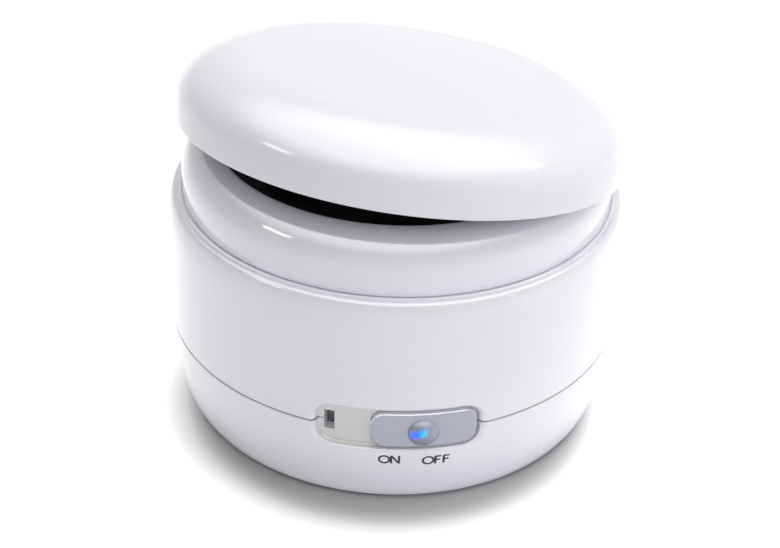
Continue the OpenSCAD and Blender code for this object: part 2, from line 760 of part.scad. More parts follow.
// Twist cover for the battery mouth, with two lugs, a coin slot and a rib under the cells.
cover_r = mouth_r - cover_gap;
cover_t = 2;
cover_ring_t = 2;
coin_l = 14;
coin_w = 1.8;
coin_d = 1.1;
rib_r = 12;
module battery_cover() {
    lug_z = floor_top + lug_gap;
    color("white") difference() {
        union() {
            drum(cover_r, foot_drop, foot_drop + cover_t);
            ring(cover_r - cover_ring_t, cover_r, foot_drop + cover_t - e, lug_z + lug_t);
            for (s = [0, 180]) rotate([0, 0, s]) intersection() {
                ring(cover_r - 1, lug_r, lug_z, lug_z + lug_t);
                sector(-lug_az / 2, lug_az / 2, 50);
            }
            ring(rib_r - 1, rib_r, foot_drop + cover_t - e, cell_z - cell_r - 0.3);
        }
        translate([-coin_l / 2, -coin_w / 2, -1]) cube([coin_l, coin_w, 1 + foot_drop + coin_d]);
    }
}
module rubber_feet() {
    color("dimgray") at_feet() drum(foot_r - 0.05, 0, foot_drop + foot_pocket);
}

// Screws: a pan head that sits at z and a shank that goes up or down by a length.
module screw(z, r, l, up) {
    translate([0, 0, z]) mirror([0, 0, up ? 0 : 1]) {
        cylinder(r = r, h = l);
        translate([0, 0, -screw_head_h]) difference() {
            cylinder(r = screw_head_r * r / screw_r, h = screw_head_h);
            translate([-r, -0.3, -1]) cube([2 * r, 0.6, 1.6]);
        }
    }
}
module casing_screws() {
    seat_z = foot_drop + counterbore_h;
    color("silver") at_bosses() screw(seat_z, screw_r, seam_z + screw_bite_h - seat_z, true);
}
module board_screws() {
    for (s = [-1, 1]) color("silver") translate([s * board_hole_x, board_hole_y, 0])
        screw(board_top, screw_r, board_top - bay_roof + bay_t - 0.2, false);
}
module motor_screws() {
    color("silver") at_motor_screws()
        screw(tank_under - bracket_t, motor_screw_r, bracket_t + motor_screw_bite - 0.1, true);
}
module bay_screws() {
    color("silver") at_posts()
        screw(bay_plate_z + bay_plate_t, screw_r, bay_plate_t + 1, false);
}

lower_casing();
upper_casing();
collar_ring();
tank_cup();
tank_gasket();
lid_shell();
lid_liner();
lid_seal();
hinge_pin();
lens_tray();
lens_cap_left();
lens_cap_right();
slider_cap();
slider_carrier();
slider_dome();
window_insert();
slide_switch_body();
slide_switch_knob();
circuit_board();
board_chips();
led();
motor_can();
motor_bracket();
motor_shaft();
eccentric_weight();
motor_leads();
battery_bay();
battery_cell_front();
battery_cell_back();
battery_springs();
battery_contacts();
battery_leads();
battery_cover();
rubber_feet();
casing_screws();
board_screws();
motor_screws();
bay_screws();
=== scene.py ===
"""Dresses the contact lens cleaner: smooth casing, lid, collar, tank, switch and finishes over its frame."""

import json
import math

import bmesh
import bpy
import numpy as np
from bpy.props import FloatProperty, FloatVectorProperty, PointerProperty
from mathutils import Matrix, Vector

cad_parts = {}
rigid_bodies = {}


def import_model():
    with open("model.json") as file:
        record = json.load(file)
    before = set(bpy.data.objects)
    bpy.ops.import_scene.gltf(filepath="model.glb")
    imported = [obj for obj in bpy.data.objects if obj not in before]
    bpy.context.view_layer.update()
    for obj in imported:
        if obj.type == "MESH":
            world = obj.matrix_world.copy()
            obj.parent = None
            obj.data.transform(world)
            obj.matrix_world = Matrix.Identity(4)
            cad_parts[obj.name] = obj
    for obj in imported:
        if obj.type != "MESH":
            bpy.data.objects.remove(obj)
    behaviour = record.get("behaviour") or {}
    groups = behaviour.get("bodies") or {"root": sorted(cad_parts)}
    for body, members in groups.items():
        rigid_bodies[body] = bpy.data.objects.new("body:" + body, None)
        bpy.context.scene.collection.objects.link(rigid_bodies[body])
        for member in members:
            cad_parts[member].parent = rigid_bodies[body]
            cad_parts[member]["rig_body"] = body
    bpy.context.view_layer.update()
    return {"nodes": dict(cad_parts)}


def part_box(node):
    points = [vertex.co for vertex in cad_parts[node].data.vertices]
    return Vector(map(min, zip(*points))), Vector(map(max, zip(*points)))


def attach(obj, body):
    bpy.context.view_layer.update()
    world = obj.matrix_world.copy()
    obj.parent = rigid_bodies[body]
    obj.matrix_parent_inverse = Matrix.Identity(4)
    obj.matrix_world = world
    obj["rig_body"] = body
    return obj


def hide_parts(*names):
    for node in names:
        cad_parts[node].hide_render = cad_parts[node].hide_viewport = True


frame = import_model()
NODES = frame["nodes"]

bl_info = {
    "name": "Contact lens cleaner",
    "version": (1, 0, 0),
    "blender": (4, 5, 0),
    "location": "3D View > Sidebar > Lens cleaner",
    "description": "Builds the surfaces, finishes and stage of a contact lens cleaner over its CAD frame",
    "category": "Object",
}

MM = 0.001
# Lengths below are in millimetres, azimuths in degrees from the front (-Y) towards the right.
SKIN = 0.03  # how far the casing's skins stand proud of its CAD node
SEAM_Z = 17.4
SEAM_HALF = 0.15
LEDGE_Z = 43.5
SHOULDER_Z = 38.5
BOWL_TOP_Z = 23.2
RECESS = {"az": 2.3, "z": 17.2, "half_l": 14.8, "half_h": 4.3, "corner": 3.2, "floor": 41.33, "rim": 42.43}
WINDOW = {"az": -14.7, "half_w": 0.95, "z0": 15.4, "z1": 19.4}
SLOT = {"az0": -4.1, "az1": 10.5, "z0": 15.2, "z1": 19.2}
PLATE_AZ = 8.7
PLATE_Z = 17.1
PLATE_FACE = 42.65
PLATE_CORNER = 2.6
PRINT_R = 42.4
PEN_WIDTH = 0.36
LID_SEAT = 43.9
HINGE_AZ = 33.0
HINGE_R = 44.4
HINGE_Z = 44.8
KNUCKLE_R = 1.9
AJAR = 11.5
# The camera's own right and up, and its place in metres, fitted to the photographed view.
CAMERA_RIGHT = (0.99941132, 0.02033035, 0.02763481)
CAMERA_UP = (-0.03423393, 0.53824205, 0.84209473)
CAMERA_PLACE = (0.0, -0.26933386, 0.19479836)
CAMERA_LENS = 75.594


def linear(red, green, blue):
    """The linear colour of an 8-bit display colour: ((c + 0.055) / 1.055) to the power 2.4."""
    c = np.array([red, green, blue]) / 255.0
    c = np.where(c <= 0.04045, c / 12.92, ((c + 0.055) / 1.055) ** 2.4)
    return tuple(float(x) for x in c)


# Shader expressions

class Wire:
    """A shader socket. An expression on it adds Math nodes, and node() adds any other node to its tree."""

    def __init__(self, tree, socket=None):
        self.tree = tree
        self.socket = socket

    def node(self, kind, settings=None, inputs=None, out=0):
        """Adds a node, sets its settings first and then its sockets, and returns one of its outputs."""
        made = self.tree.nodes.new(kind)
        for name, value in (settings or {}).items():
            setattr(made, name, value)
        for name, value in (inputs or {}).items():
            if isinstance(value, Wire):
                self.tree.links.new(value.socket, made.inputs[name])
            else:
                made.inputs[name].default_value = value
        return Wire(self.tree, made.outputs[out])

    def maths(self, operation, *values):
        """A Math node of this operation on the values."""
        return self.node("ShaderNodeMath", {"operation": operation}, dict(enumerate(values)))

    def __add__(self, other):
        return self.maths("ADD", self, other)

    def __sub__(self, other):
        return self.maths("SUBTRACT", self, other)

    def __mul__(self, other):
        return self.maths("MULTIPLY", self, other)

    def __rsub__(self, other):
        return self.maths("SUBTRACT", other, self)

    def __pow__(self, other):
        return self.maths("POWER", self, other)

    def __abs__(self):
        return self.maths("ABSOLUTE", self)

    __radd__ = __add__
    __rmul__ = __mul__

    def ramp(self, low, high, start=0.0, end=1.0):
        """A smooth step of this value from start at low to end at high."""
        settings = {"interpolation_type": "SMOOTHSTEP", "clamp": True}
        inputs = {"Value": self, "From Min": low, "From Max": high, "To Min": start, "To Max": end}
        return self.node("ShaderNodeMapRange", settings, inputs)

    def blend(self, first, second):
        """The first colour where this mask is 0 and the second where it is 1."""
        pair = [v if isinstance(v, Wire) else (*v, 1.0) for v in (first, second)]
        return self.node("ShaderNodeMix", {"data_type": "RGBA"}, {0: self, 6: pair[0], 7: pair[1]}, 2)


class Finish:
    """A material with one Principled shader, whose sockets are set to constants or expressions."""

    def __init__(self, name, **fixed):
        self.material = bpy.data.materials.new(name)
        self.material.use_nodes = True
        tree = self.material.node_tree
        self.shader = next(n for n in tree.nodes if n.type == "BSDF_PRINCIPLED")
        self.root = Wire(tree)
        self.place = self.root.node("ShaderNodeTexCoord", out="Object")
        for key, value in fixed.items():
            self.set(key.replace("_", " ").title().replace("Ior", "IOR"), value)

    def set(self, name, value):
        """Links a socket to an expression, or gives it a number or a colour."""
        if isinstance(value, Wire):
            self.root.tree.links.new(value.socket, self.shader.inputs[name])
        elif isinstance(value, tuple) and len(value) == 3:
            self.shader.inputs[name].default_value = (*value, 1.0)
        else:
            self.shader.inputs[name].default_value = value

    def noise(self, scale, detail=2.0, rough=0.5, stretch=None):
        """Noise from 0 to 1 on the object's own coordinates, with features about 1/scale metres wide."""
        where = self.place
        if stretch:
            where = self.root.node("ShaderNodeMapping", None, {"Vector": where, "Scale": stretch})
        return self.root.node("ShaderNodeTexNoise", None,
                              {"Vector": where, "Scale": scale, "Detail": detail, "Roughness": rough})

    def axes(self):
        """The object's own X, Y and Z as three values, in metres."""
        split = self.root.node("ShaderNodeSeparateXYZ", None, {"Vector": self.place})
        return [Wire(split.tree, split.socket.node.outputs[i]) for i in range(3)]

    def bump(self, height, depth, strength=1.0):
        """A Bump node whose height of 1 stands depth metres proud."""
        self.set("Normal", self.root.node("ShaderNodeBump", None,
                                          {"Strength": strength, "Distance": depth, "Height": height}))


def plastic(name, colour, rough=0.2, drift=0.03, gloss_drift=0.05, peel=0.0, grain=0.0, **fixed):
    """Moulded plastic: its shade drifts a little, its gloss is smeared, and peel or grain marks its surface.
    Shade: colour times 1 - drift to 1 by broad noise. Roughness: rough plus gloss_drift times fine noise."""
    f = Finish(name, **fixed)
    broad = f.noise(45.0, 3.0)
    f.set("Base Color", broad.ramp(0.3, 0.7).blend(tuple(c * (1 - drift) for c in colour), colour))
    f.set("Roughness", rough + gloss_drift * f.noise(350.0, 4.0, 0.6))
    if peel:
        f.bump(f.noise(420.0, 1.0), peel * MM, 0.6)
    elif grain:
        f.bump(f.noise(5200.0, 2.0, 0.7), grain * MM, 0.8)
    return f.material


def metal(name, colour, rough=0.3, scratch=0.12, stretch=(60.0, 900.0, 900.0)):
    """Plated or turned metal: long fine scratches vary its gloss and stand a hundredth of a millimetre."""
    f = Finish(name, metallic=1.0)
    lines = f.noise(6.0, 3.0, 0.6, stretch)
    f.set("Base Color", f.noise(120.0, 3.0).ramp(0.35, 0.75).blend(tuple(c * 0.9 for c in colour), colour))
    f.set("Roughness", rough + scratch * lines)
    f.bump(lines, 0.01 * MM, 0.4)
    return f.material


def switch_paint(name, colour):
    """Silver paint on the switch plate: pale and dark flakes a few hundredths of a millimetre wide, and a
    painted highlight along the upper edge, which fades in under 42.6 mm from the axis, above the plate's
    middle."""
    f = Finish(name, metallic=0.45, coat_weight=0.35, coat_roughness=0.12)
    flakes = f.noise(9000.0, 2.0, 0.7)
    dark = tuple(c * 0.9 for c in colour)
    light = tuple(min(1.0, c * 1.08) for c in colour)
    x, y, z = f.axes()
    # Painted highlight: the base colour turns paler along the plate's upper edge, where light would catch it.
    edge = ((x * x + y * y) ** 0.5).ramp(0.0423, 0.04262, 1.0, 0.0) * z.ramp(0.0150, 0.0185)
    f.set("Base Color", edge.blend(flakes.ramp(0.3, 0.7).blend(dark, light), linear(236, 238, 244)))
    f.set("Roughness", 0.3 + 0.14 * flakes)
    f.bump(flakes, 0.004 * MM, 0.5)
    return f.material


def dome_glass(name, colour, glow):
    """Pearly dome: grey blue, paler to the upper right and darker to the lower left as painted light and
    shade, with a streak of blue light at its upper left and painted violet light at its left, below the
    streak.
    The streak fades from a quarter of a millimetre to one millimetre off a slanted line over the dome."""
    f = Finish(name, coat_weight=0.3, coat_roughness=0.05)
    x, _, z = f.axes()
    across = (x - centre_of_dome()[0]) * 1000.0
    up = (z - centre_of_dome()[2]) * 1000.0
    off_line = abs(up - 0.5 - 0.28 * (across + 0.5))
    streak = off_line.ramp(0.25, 1.05, 1.0, 0.0) * across.ramp(0.9, -0.3) * across.ramp(-2.75, -2.1)
    # Painted violet light from the glow, at the dome's left below the streak.
    painted_violet_light = across.ramp(-0.4, -2.0) * up.ramp(0.5, -0.4) * up.ramp(-1.6, -0.7)
    dark = tuple(c * 0.8 for c in colour)
    light = tuple(min(1, c * 1.5) for c in colour)
    # Painted light and shade: the base colour is paler to the upper right and darker to the lower left.
    shade = (across * 0.6 + up).ramp(-2.6, 2.6).blend(dark, light)
    f.set("Base Color", streak.blend((painted_violet_light * 0.6).blend(shade, linear(150, 140, 235)), glow))
    cyan = across.ramp(-1.6, 0.2).blend(linear(0, 100, 250), linear(50, 220, 255))
    f.set("Emission Color", (streak * 0.85).blend((0.0, 0.0, 0.0), cyan))
    f.set("Emission Strength", 0.9)
    f.set("Roughness", 0.14 + 0.05 * f.noise(800.0))
    return f.material


def board_mask(name):
    """Circuit board lacquer: green with paler tracks, one each 1.6 mm, bent by low noise."""
    f = Finish(name, roughness=0.35, coat_weight=0.3)
    place = f.axes()[0] * 625.0 + f.noise(60.0, 1.0) * 3.0
    tracks = abs(place.maths("FRACT", place) - 0.5)
    f.set("Base Color", tracks.ramp(0.16, 0.2).blend(linear(34, 104, 62), linear(16, 66, 40)))
    f.bump(tracks.ramp(0.16, 0.2, 1.0, 0.0), 0.03 * MM)
    return f.material


def cell_sleeve(name, plus_side):
    """Battery cell: a plain grey blue sleeve, pale at its plus end, between x -21.2 and 21.2 mm, and steel
    ends. The plus side is 1 or -1, and turns the pattern round."""
    f = Finish(name, coat_weight=0.3)
    x = f.axes()[0] * (1000.0 * plus_side)
    sleeve = abs(x).ramp(21.2, 21.3, 1.0, 0.0)
    band = x.ramp(11.0, 11.2)
    skin = band.blend(linear(64, 82, 96), linear(150, 160, 166))
    f.set("Base Color", sleeve.blend(linear(190, 190, 188), skin))
    f.set("Metallic", 1.0 - sleeve * 0.7)
    f.set("Roughness", 0.28 + 0.1 * f.noise(500.0))
    return f.material


# Surfaces

def surface(name, points, wrap_rows=False, wrap_columns=False, drop=None, caps=False):
    """A grid of points (rows, columns, 3) in mm made a mesh: one quad between each four neighbours.
    Wrapping joins the last row or column to the first, drop marks quads left out, and caps closes the
    end rows."""
    rows, columns = points.shape[:2]
    i = np.arange(rows if wrap_rows else rows - 1)[:, None]
    j = np.arange(columns if wrap_columns else columns - 1)[None, :]
    below = (i + 1) % rows
    right = (j + 1) % columns
    here, under = i * columns, below * columns
    quads = np.stack([here + j, here + right, under + right, under + j], -1)
    if drop is not None:
        quads = quads[~drop]
    faces = quads.reshape(-1, 4).tolist()
    if caps:
        faces.append(list(range(columns)))
        faces.append(list(range((rows - 1) * columns, rows * columns))[::-1])
    mesh = bpy.data.meshes.new(name)
    mesh.from_pydata((points.reshape(-1, 3) * MM).tolist(), [], faces)
    obj = bpy.data.objects.new(name, mesh)
    bpy.context.scene.collection.objects.link(obj)
    return obj


def closed(obj, recalculate=True):
    """Merges doubled points, clears flattened faces and turns the faces of a closed shape outwards."""
    bm = bmesh.new()
    bm.from_mesh(obj.data)
    bmesh.ops.remove_doubles(bm, verts=bm.verts, dist=2e-6)
    bmesh.ops.dissolve_degenerate(bm, edges=bm.edges, dist=1e-7)
    if recalculate:
        bmesh.ops.recalc_face_normals(bm, faces=bm.faces)
    bm.to_mesh(obj.data)
    bm.free()
    return obj


def smooth(obj, angle=40.0):
    """Smooth shading, with edges sharper than the angle kept crisp."""
    obj.data.shade_smooth()
    obj.data.set_sharp_from_angle(angle=math.radians(angle))


def rounded(corners, steps=6, guard=0.25):
    """A closed outline from corners (a, b, radius). Each corner is the curve (1-s)^2 P + 2s(1-s) C + s^2 Q
    between points P and Q on its two sides, and a guard point stands beside each end of it."""
    c = np.array(corners, float)
    here, size = c[:, :2], c[:, 2]
    ahead = np.roll(here, -1, 0) - here
    length = np.linalg.norm(ahead, axis=1)
    behind = np.roll(length, 1)
    unit = ahead / length[:, None]
    reach_on = np.minimum(size, 0.45 * length)[:, None]
    reach_back = np.minimum(size, 0.45 * behind)[:, None]
    start = here - np.roll(unit, 1, 0) * reach_back
    end = here + unit * reach_on
    s = np.linspace(0, 1, steps)[None, :, None]
    arcs = (1 - s) ** 2 * start[:, None] + 2 * s * (1 - s) * here[:, None] + s ** 2 * end[:, None]
    spare = np.maximum(length - reach_on[:, 0] - np.roll(reach_back[:, 0], -1), 0)
    ahead_guard = end + unit * (np.minimum(guard, 0.3 * spare))[:, None]
    back_guard = np.roll(start, -1, 0) - unit * (np.minimum(guard, 0.3 * spare))[:, None]
    return np.concatenate([arcs, ahead_guard[:, None], back_guard[:, None]], 1).reshape(-1, 2)


def turned(outline, segments=192):
    """Points (r sin a, -r cos a, z) for each outline point (r, z) and each angle a of a full turn."""
    a = np.linspace(0, 2 * np.pi, segments, endpoint=False)
    r = outline[:, 0][:, None]
    z = np.broadcast_to(outline[:, 1][:, None], (len(outline), segments))
    return np.stack([r * np.sin(a), -r * np.cos(a), z], -1)


def moved(points, matrix):
    """The points carried by a 4 by 4 matrix."""
    m = np.array(matrix)
    return points @ m[:3, :3].T + m[:3, 3]


def hinge_frame():
    """Turns the hinge's own frame, whose hinge is at +Y, to the back right."""
    return Matrix.Rotation(math.radians(-HINGE_AZ), 4, "Z")


def ajar():
    """From the closed lid in the hinge's frame to the lid standing open, in the object's frame."""
    pivot = Matrix.Translation((0, HINGE_R, HINGE_Z))
    return hinge_frame() @ pivot @ Matrix.Rotation(math.radians(-AJAR), 4, "X") @ pivot.inverted()


def centre_of_dome():
    """The dome's centre, in metres, from its CAD node."""
    low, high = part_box("slider_dome")
    return (low + high) / 2


def bowl_radius(z, s):
    """The casing's radius at height z: base + (body - base)(1 - ((h - z)/h)^2.45)^(1/2.18)."""
    part = np.clip((s.bowl_height / MM - z) / (s.bowl_height / MM), 0, 1) ** 2.45
    body, base = s.body_radius / MM, s.base_radius / MM
    return base + (body - base) * (1 - part) ** (1 / 2.18)


def rounded_box_distance(x, y, half_l, half_h, corner):
    """Signed distance to a rounded rectangle: |max(q, 0)| + min(max(qx, qy), 0) - corner, where q is
    |p| - half + corner."""
    qx = np.abs(x) - half_l + corner
    qy = np.abs(y) - half_h + corner
    outside = np.hypot(np.maximum(qx, 0), np.maximum(qy, 0))
    return outside + np.minimum(np.maximum(qx, qy), 0) - corner


def pressed_in(radius, az, z):
    """The skin's radius with the switch recess pressed in. Inside its outline the skin falls to the floor by
    a wall 0.28 mm wide, as 3t^2 - 2t^3. Round it a bevel falls from the casing's radius to the wall's top,
    as 1 - (1 - d/b)^1.8 over b = 0.85 mm."""
    outline_r = 42.9
    bevel = 0.85
    wall = 0.28
    far = 99.0
    x = outline_r * np.sin(np.radians(az - RECESS["az"]))
    near = np.abs(az - RECESS["az"]) < 60
    d = rounded_box_distance(x, z - RECESS["z"], RECESS["half_l"], RECESS["half_h"], RECESS["corner"])
    d = np.where(near, d, far)
    share = np.clip(d / bevel, 0, 1)
    rim = np.minimum(RECESS["rim"], radius)
    outer = rim + (radius - rim) * (1 - (1 - share) ** 1.8)
    depth = np.clip(-d / wall, 0, 1)
    depth = depth * depth * (3 - 2 * depth)
    return np.where(d > 0, outer, rim + (RECESS["floor"] - rim) * depth)


def window_side():
    """Half the window's width as an azimuth: asin(half width / floor radius), in degrees."""
    return math.degrees(math.asin(WINDOW["half_w"] / RECESS["floor"]))


def azimuths():
    """Azimuths of the casing skins: fine over the recess, with lines on the window's and slot's sides."""
    side = window_side()
    fine = np.arange(-20.4, 25.2, 0.155)
    lines = np.array([WINDOW["az"] - side, WINDOW["az"] + side, SLOT["az0"], SLOT["az1"]])
    fine = fine[np.abs(fine[:, None] - lines).min(1) > 0.06]
    coarse = np.arange(25.2, 360 - 20.4, 1.4)
    return np.sort(np.concatenate([fine, lines, coarse]))


def heights(low, high):
    """Heights 0.115 mm apart, with lines on the window's and the slot's edges."""
    fine = np.linspace(low, high, int((high - low) / 0.115) + 1)
    lines = np.array([v for v in (WINDOW["z0"], WINDOW["z1"], SLOT["z0"], SLOT["z1"]) if low < v < high])
    fine = fine[np.abs(fine[:, None] - lines).min(1) > 0.05]
    return np.sort(np.concatenate([fine, lines]))


def openings(az, z):
    """True for the quads whose middle lies in the window or in the slot behind the switch plate."""
    a = ((az + np.roll(az, -1)) / 2)[None, :]
    h = ((z[:-1] + z[1:]) / 2)[:, None]
    side = window_side()
    window = (np.abs(a - WINDOW["az"]) < side) & (h > WINDOW["z0"]) & (h < WINDOW["z1"])
    slot = (a > SLOT["az0"]) & (a < SLOT["az1"]) & (h > SLOT["z0"]) & (h < SLOT["z1"])
    return window | slot


def casing_skin(name, z, radius, edge_row, rows_after):
    """A skin of the casing: radius as a function of azimuth and height, pressed in at the switch.
    Its seam edge curls in by 0.24 mm over the last 0.22 mm, as 1 - sqrt(1 - t^2). Rows (r, z) may follow."""
    az = azimuths()
    aa, zz = np.meshgrid(az, z)
    r = pressed_in(np.broadcast_to(radius[:, None], aa.shape) + SKIN, aa, zz)
    t = np.clip(1 - np.abs(z - edge_row) / 0.22, 0, 1)
    r = r - (0.24 * (1 - np.sqrt(1 - t ** 2)))[:, None]
    a = np.radians(aa)
    body = np.stack([r * np.sin(a), -r * np.cos(a), zz], -1)
    drop = openings(az, z)
    if rows_after is not None:
        more = np.radians(az)[None, :]
        rr, zz = rows_after[:, :1], rows_after[:, 1:]
        level = np.broadcast_to(zz, (len(rows_after), len(az)))
        ring = np.stack([rr * np.sin(more), -rr * np.cos(more), level], -1)
        body = np.concatenate([body, ring], 0)
        drop = np.concatenate([drop, np.zeros((len(rows_after), len(az)), bool)], 0)
    obj = surface(name, body, wrap_columns=True, drop=drop)
    obj.data.shade_smooth()
    walled(obj, 0.2)
    return obj


def walled(obj, thickness):
    """Gives a skin a wall that grows inwards."""
    wall = obj.modifiers.new("Wall", "SOLIDIFY")
    wall.thickness = thickness * MM
    wall.offset = -1.0


def settle(obj, body, slot, finish, *nodes):
    """The piece takes its finish, rides on its body and hides the CAD nodes that it stands for."""
    obj.data.materials.clear()
    obj.data.materials.append(finish)
    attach(obj, body)
    if nodes:
        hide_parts(*nodes)


def polished(node, finish, width=0.15, angle=38.0):
    """A copy of a CAD node with its points merged, its sharp edges eased and its curves shaded smooth."""
    copy = bpy.data.objects.new(node + "_finished", NODES[node].data.copy())
    bpy.context.scene.collection.objects.link(copy)
    closed(copy, recalculate=False)
    smooth(copy, angle)
    if width:
        ease = copy.modifiers.new("Ease", "BEVEL")
        ease.width = width * MM
        ease.segments = 2
        ease.limit_method = "ANGLE"
        ease.angle_limit = math.radians(angle)
        ease.harden_normals = True
    settle(copy, NODES[node]["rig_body"], node, finish, node)


def dressed(names, finish):
    """Gives CAD nodes that stay as they are a finish."""
    for name in names:
        NODES[name].data.materials.clear()
        NODES[name].data.materials.append(finish)


def shell_white(s, name, rough, gloss):
    """Glossy white ABS, very slightly violet, with a faint orange peel under a hard gloss."""
    return plastic(name, tuple(s.shell_colour), rough, 0.012, 0.04, peel=0.006,
                   coat_weight=gloss, coat_roughness=0.04)


def casing_white(s, name):
    """The casing's white. The floor of the switch recess is a warmer, duller white, darker as painted shade
    of the recess: it lies where the distance from the axis, sqrt(x^2 + y^2), is under 42.2 mm between 12 and
    22.5 mm high."""
    f = Finish(name, coat_weight=0.8, coat_roughness=0.05)
    x, y, z = f.axes()
    inside = ((x * x + y * y) ** 0.5).ramp(0.0420, 0.0424, 1.0, 0.0)
    floor = inside * z.ramp(0.0115, 0.0125) * z.ramp(0.0222, 0.0228, 1.0, 0.0)
    white = tuple(s.shell_colour)
    shade = f.noise(45.0, 3.0).ramp(0.3, 0.7).blend(tuple(c * 0.988 for c in white), white)
    # Painted shade: the recess floor's base colour is darker, as well as warmer, than the casing's white.
    f.set("Base Color", floor.blend(shade, linear(222, 220, 220)))
    f.set("Roughness", 0.16 + 0.04 * f.noise(350.0, 4.0, 0.6) + 0.15 * floor)
    f.bump(f.noise(420.0, 1.0), 0.006 * MM, 0.6)
    return f.material


# Sizes and colours

class CASING_settings(bpy.types.PropertyGroup):
    """Sizes and colours of the casing and tank"""
    body_radius: FloatProperty(name="Body radius", description="Largest radius of the casing",
                               default=43.0 * MM, min=0.0426, max=0.046, unit="LENGTH", precision=4)
    base_radius: FloatProperty(name="Base radius", description="Radius of the casing at its bottom edge",
                               default=38.8 * MM, min=0.038, max=0.04, unit="LENGTH", precision=4)
    bowl_height: FloatProperty(name="Bowl height", description="Height at which the bowl is widest",
                               default=25.0 * MM, min=0.02, max=0.03, unit="LENGTH", precision=4)
    shell_colour: FloatVectorProperty(name="Shell colour", description="Colour of the glossy white plastic",
                                      default=linear(236, 234, 242), min=0.0, max=1.0, subtype="COLOR",
                                      size=3)
    tank_colour: FloatVectorProperty(name="Tank colour", description="Colour of the tank's black plastic",
                                     default=linear(8, 8, 9), min=0.0, max=1.0, subtype="COLOR", size=3)


class LID_settings(bpy.types.PropertyGroup):
    """Sizes of the lid"""
    radius: FloatProperty(name="Lid radius", description="Outer radius of the lid's lip",
                          default=41.6 * MM, min=0.04, max=0.043, unit="LENGTH", precision=4)
    height: FloatProperty(name="Lid height", description="Height of the lid to the top of its rounded edge",
                          default=13.0 * MM, min=0.011, max=0.014, unit="LENGTH", precision=4)
    crown: FloatProperty(name="Crown", description="Rise of the lid's middle above that",
                         default=0.7 * MM, min=0.0, max=0.001, unit="LENGTH", precision=4)


class SWITCH_settings(bpy.types.PropertyGroup):
    """Sizes and colours of the switch and its lettering"""
    length: FloatProperty(name="Plate length", description="Length of the sliding plate",
                          default=19.1 * MM, min=0.018, max=0.0196, unit="LENGTH", precision=4)
    height: FloatProperty(name="Plate height", description="Height of the sliding plate",
                          default=7.3 * MM, min=0.0068, max=0.0075, unit="LENGTH", precision=4)
    plate_colour: FloatVectorProperty(name="Plate colour", description="Colour of the silver paint",
                                      default=linear(160, 163, 173), min=0.0, max=1.0, subtype="COLOR",
                                      size=3)
    dome_colour: FloatVectorProperty(name="Dome colour", description="Colour of the pearly dome",
                                     default=linear(134, 140, 155), min=0.0, max=1.0, subtype="COLOR", size=3)
    glow_colour: FloatVectorProperty(name="Glow colour", description="Colour of the light in the dome",
                                     default=linear(6, 90, 205), min=0.0, max=1.0, subtype="COLOR", size=3)
    ink_colour: FloatVectorProperty(name="Ink colour", description="Colour of the ON and OFF lettering",
                                    default=linear(24, 26, 42), min=0.0, max=1.0, subtype="COLOR", size=3)
    letter_height: FloatProperty(name="Letter height", description="Height of the ON and OFF lettering",
                                 default=1.9 * MM, min=0.001, max=0.0022, unit="LENGTH", precision=4)


class STAGE_settings(bpy.types.PropertyGroup):
    """Powers of the lamps and sky"""
    key_power: FloatProperty(name="Key light", description="Power of the large lamp overhead",
                             default=2.0, min=0.0, max=40.0, unit="POWER")
    side_power: FloatProperty(name="Side light", description="Power of the lamp at the right",
                              default=0.9, min=0.0, max=40.0, unit="POWER")
    fill_power: FloatProperty(name="Front light", description="Power of the broad lamp in front",
                              default=0.25, min=0.0, max=40.0, unit="POWER")
    glint_power: FloatProperty(name="Glint light", description="Power of the lamps behind the lid's glints",
                               default=0.24, min=0.0, max=10.0, unit="POWER")
    sky_strength: FloatProperty(name="Sky", description="Strength of the white surroundings",
                                default=0.5, min=0.0, max=1.0, subtype="FACTOR")


# Pieces

class LENS_OT_casing(bpy.types.Operator):
    """Smooth skins of the lower and upper casing, with the seam, the switch recess and its window"""
    bl_idname = "lens_cleaner.casing"
    bl_label = "Casing"

    def execute(self, context):
        s = context.scene.cleaner_casing
        white = casing_white(s, "shell_white")
        inner = plastic("shell_inside", tuple(s.shell_colour), 0.32, 0.02, 0.1, grain=0.01)
        dressed(["lower_casing", "upper_casing"], inner)
        low = np.concatenate([np.array([0.42, 0.5, 0.62, 0.76, 0.9]), np.linspace(1.6, 11.2, 14)])
        z = np.concatenate([low, heights(11.35, SEAM_Z - SEAM_HALF)])
        r = bowl_radius(z, s)
        r = np.where(z < 0.95, bowl_radius(0.9, s) - 0.5 * ((0.95 - z) / 0.55) ** 1.6, r)
        lower = casing_skin("lower_skin", z, r, SEAM_Z - SEAM_HALF, None)
        plain = np.linspace(BOWL_TOP_Z + 0.4, SHOULDER_Z, 16)
        z = np.concatenate([heights(SEAM_Z + SEAM_HALF, BOWL_TOP_Z), plain])
        r = bowl_radius(z, s)
        body = s.body_radius / MM
        a = np.radians(np.linspace(6, 90, 15))
        # The shoulder is a quarter ellipse, 1.6 mm wide and 5.03 mm high.
        shoulder = np.stack([body + SKIN - 1.6 * (1 - np.cos(a)), SHOULDER_Z + 5.03 * np.sin(a)], -1)
        # The ledge as (radius, height above LEDGE_Z), ending in a small lip at the collar
        tail = np.array([[41.2, 0.03], [41.0, 0.03], [40.82, 0.04], [40.7, 0.07], [40.58, 0.12],
                         [40.47, 0.15], [40.38, 0.14], [40.3, 0.1], [40.24, 0.02], [40.2, -0.1]])
        tail[:, 1] += LEDGE_Z
        upper = casing_skin("upper_skin", z, r, SEAM_Z + SEAM_HALF, np.concatenate([shoulder, tail]))
        for obj, slot in ((lower, "lower_casing"), (upper, "upper_casing")):
            settle(obj, "base", slot, white)
        return {"FINISHED"}


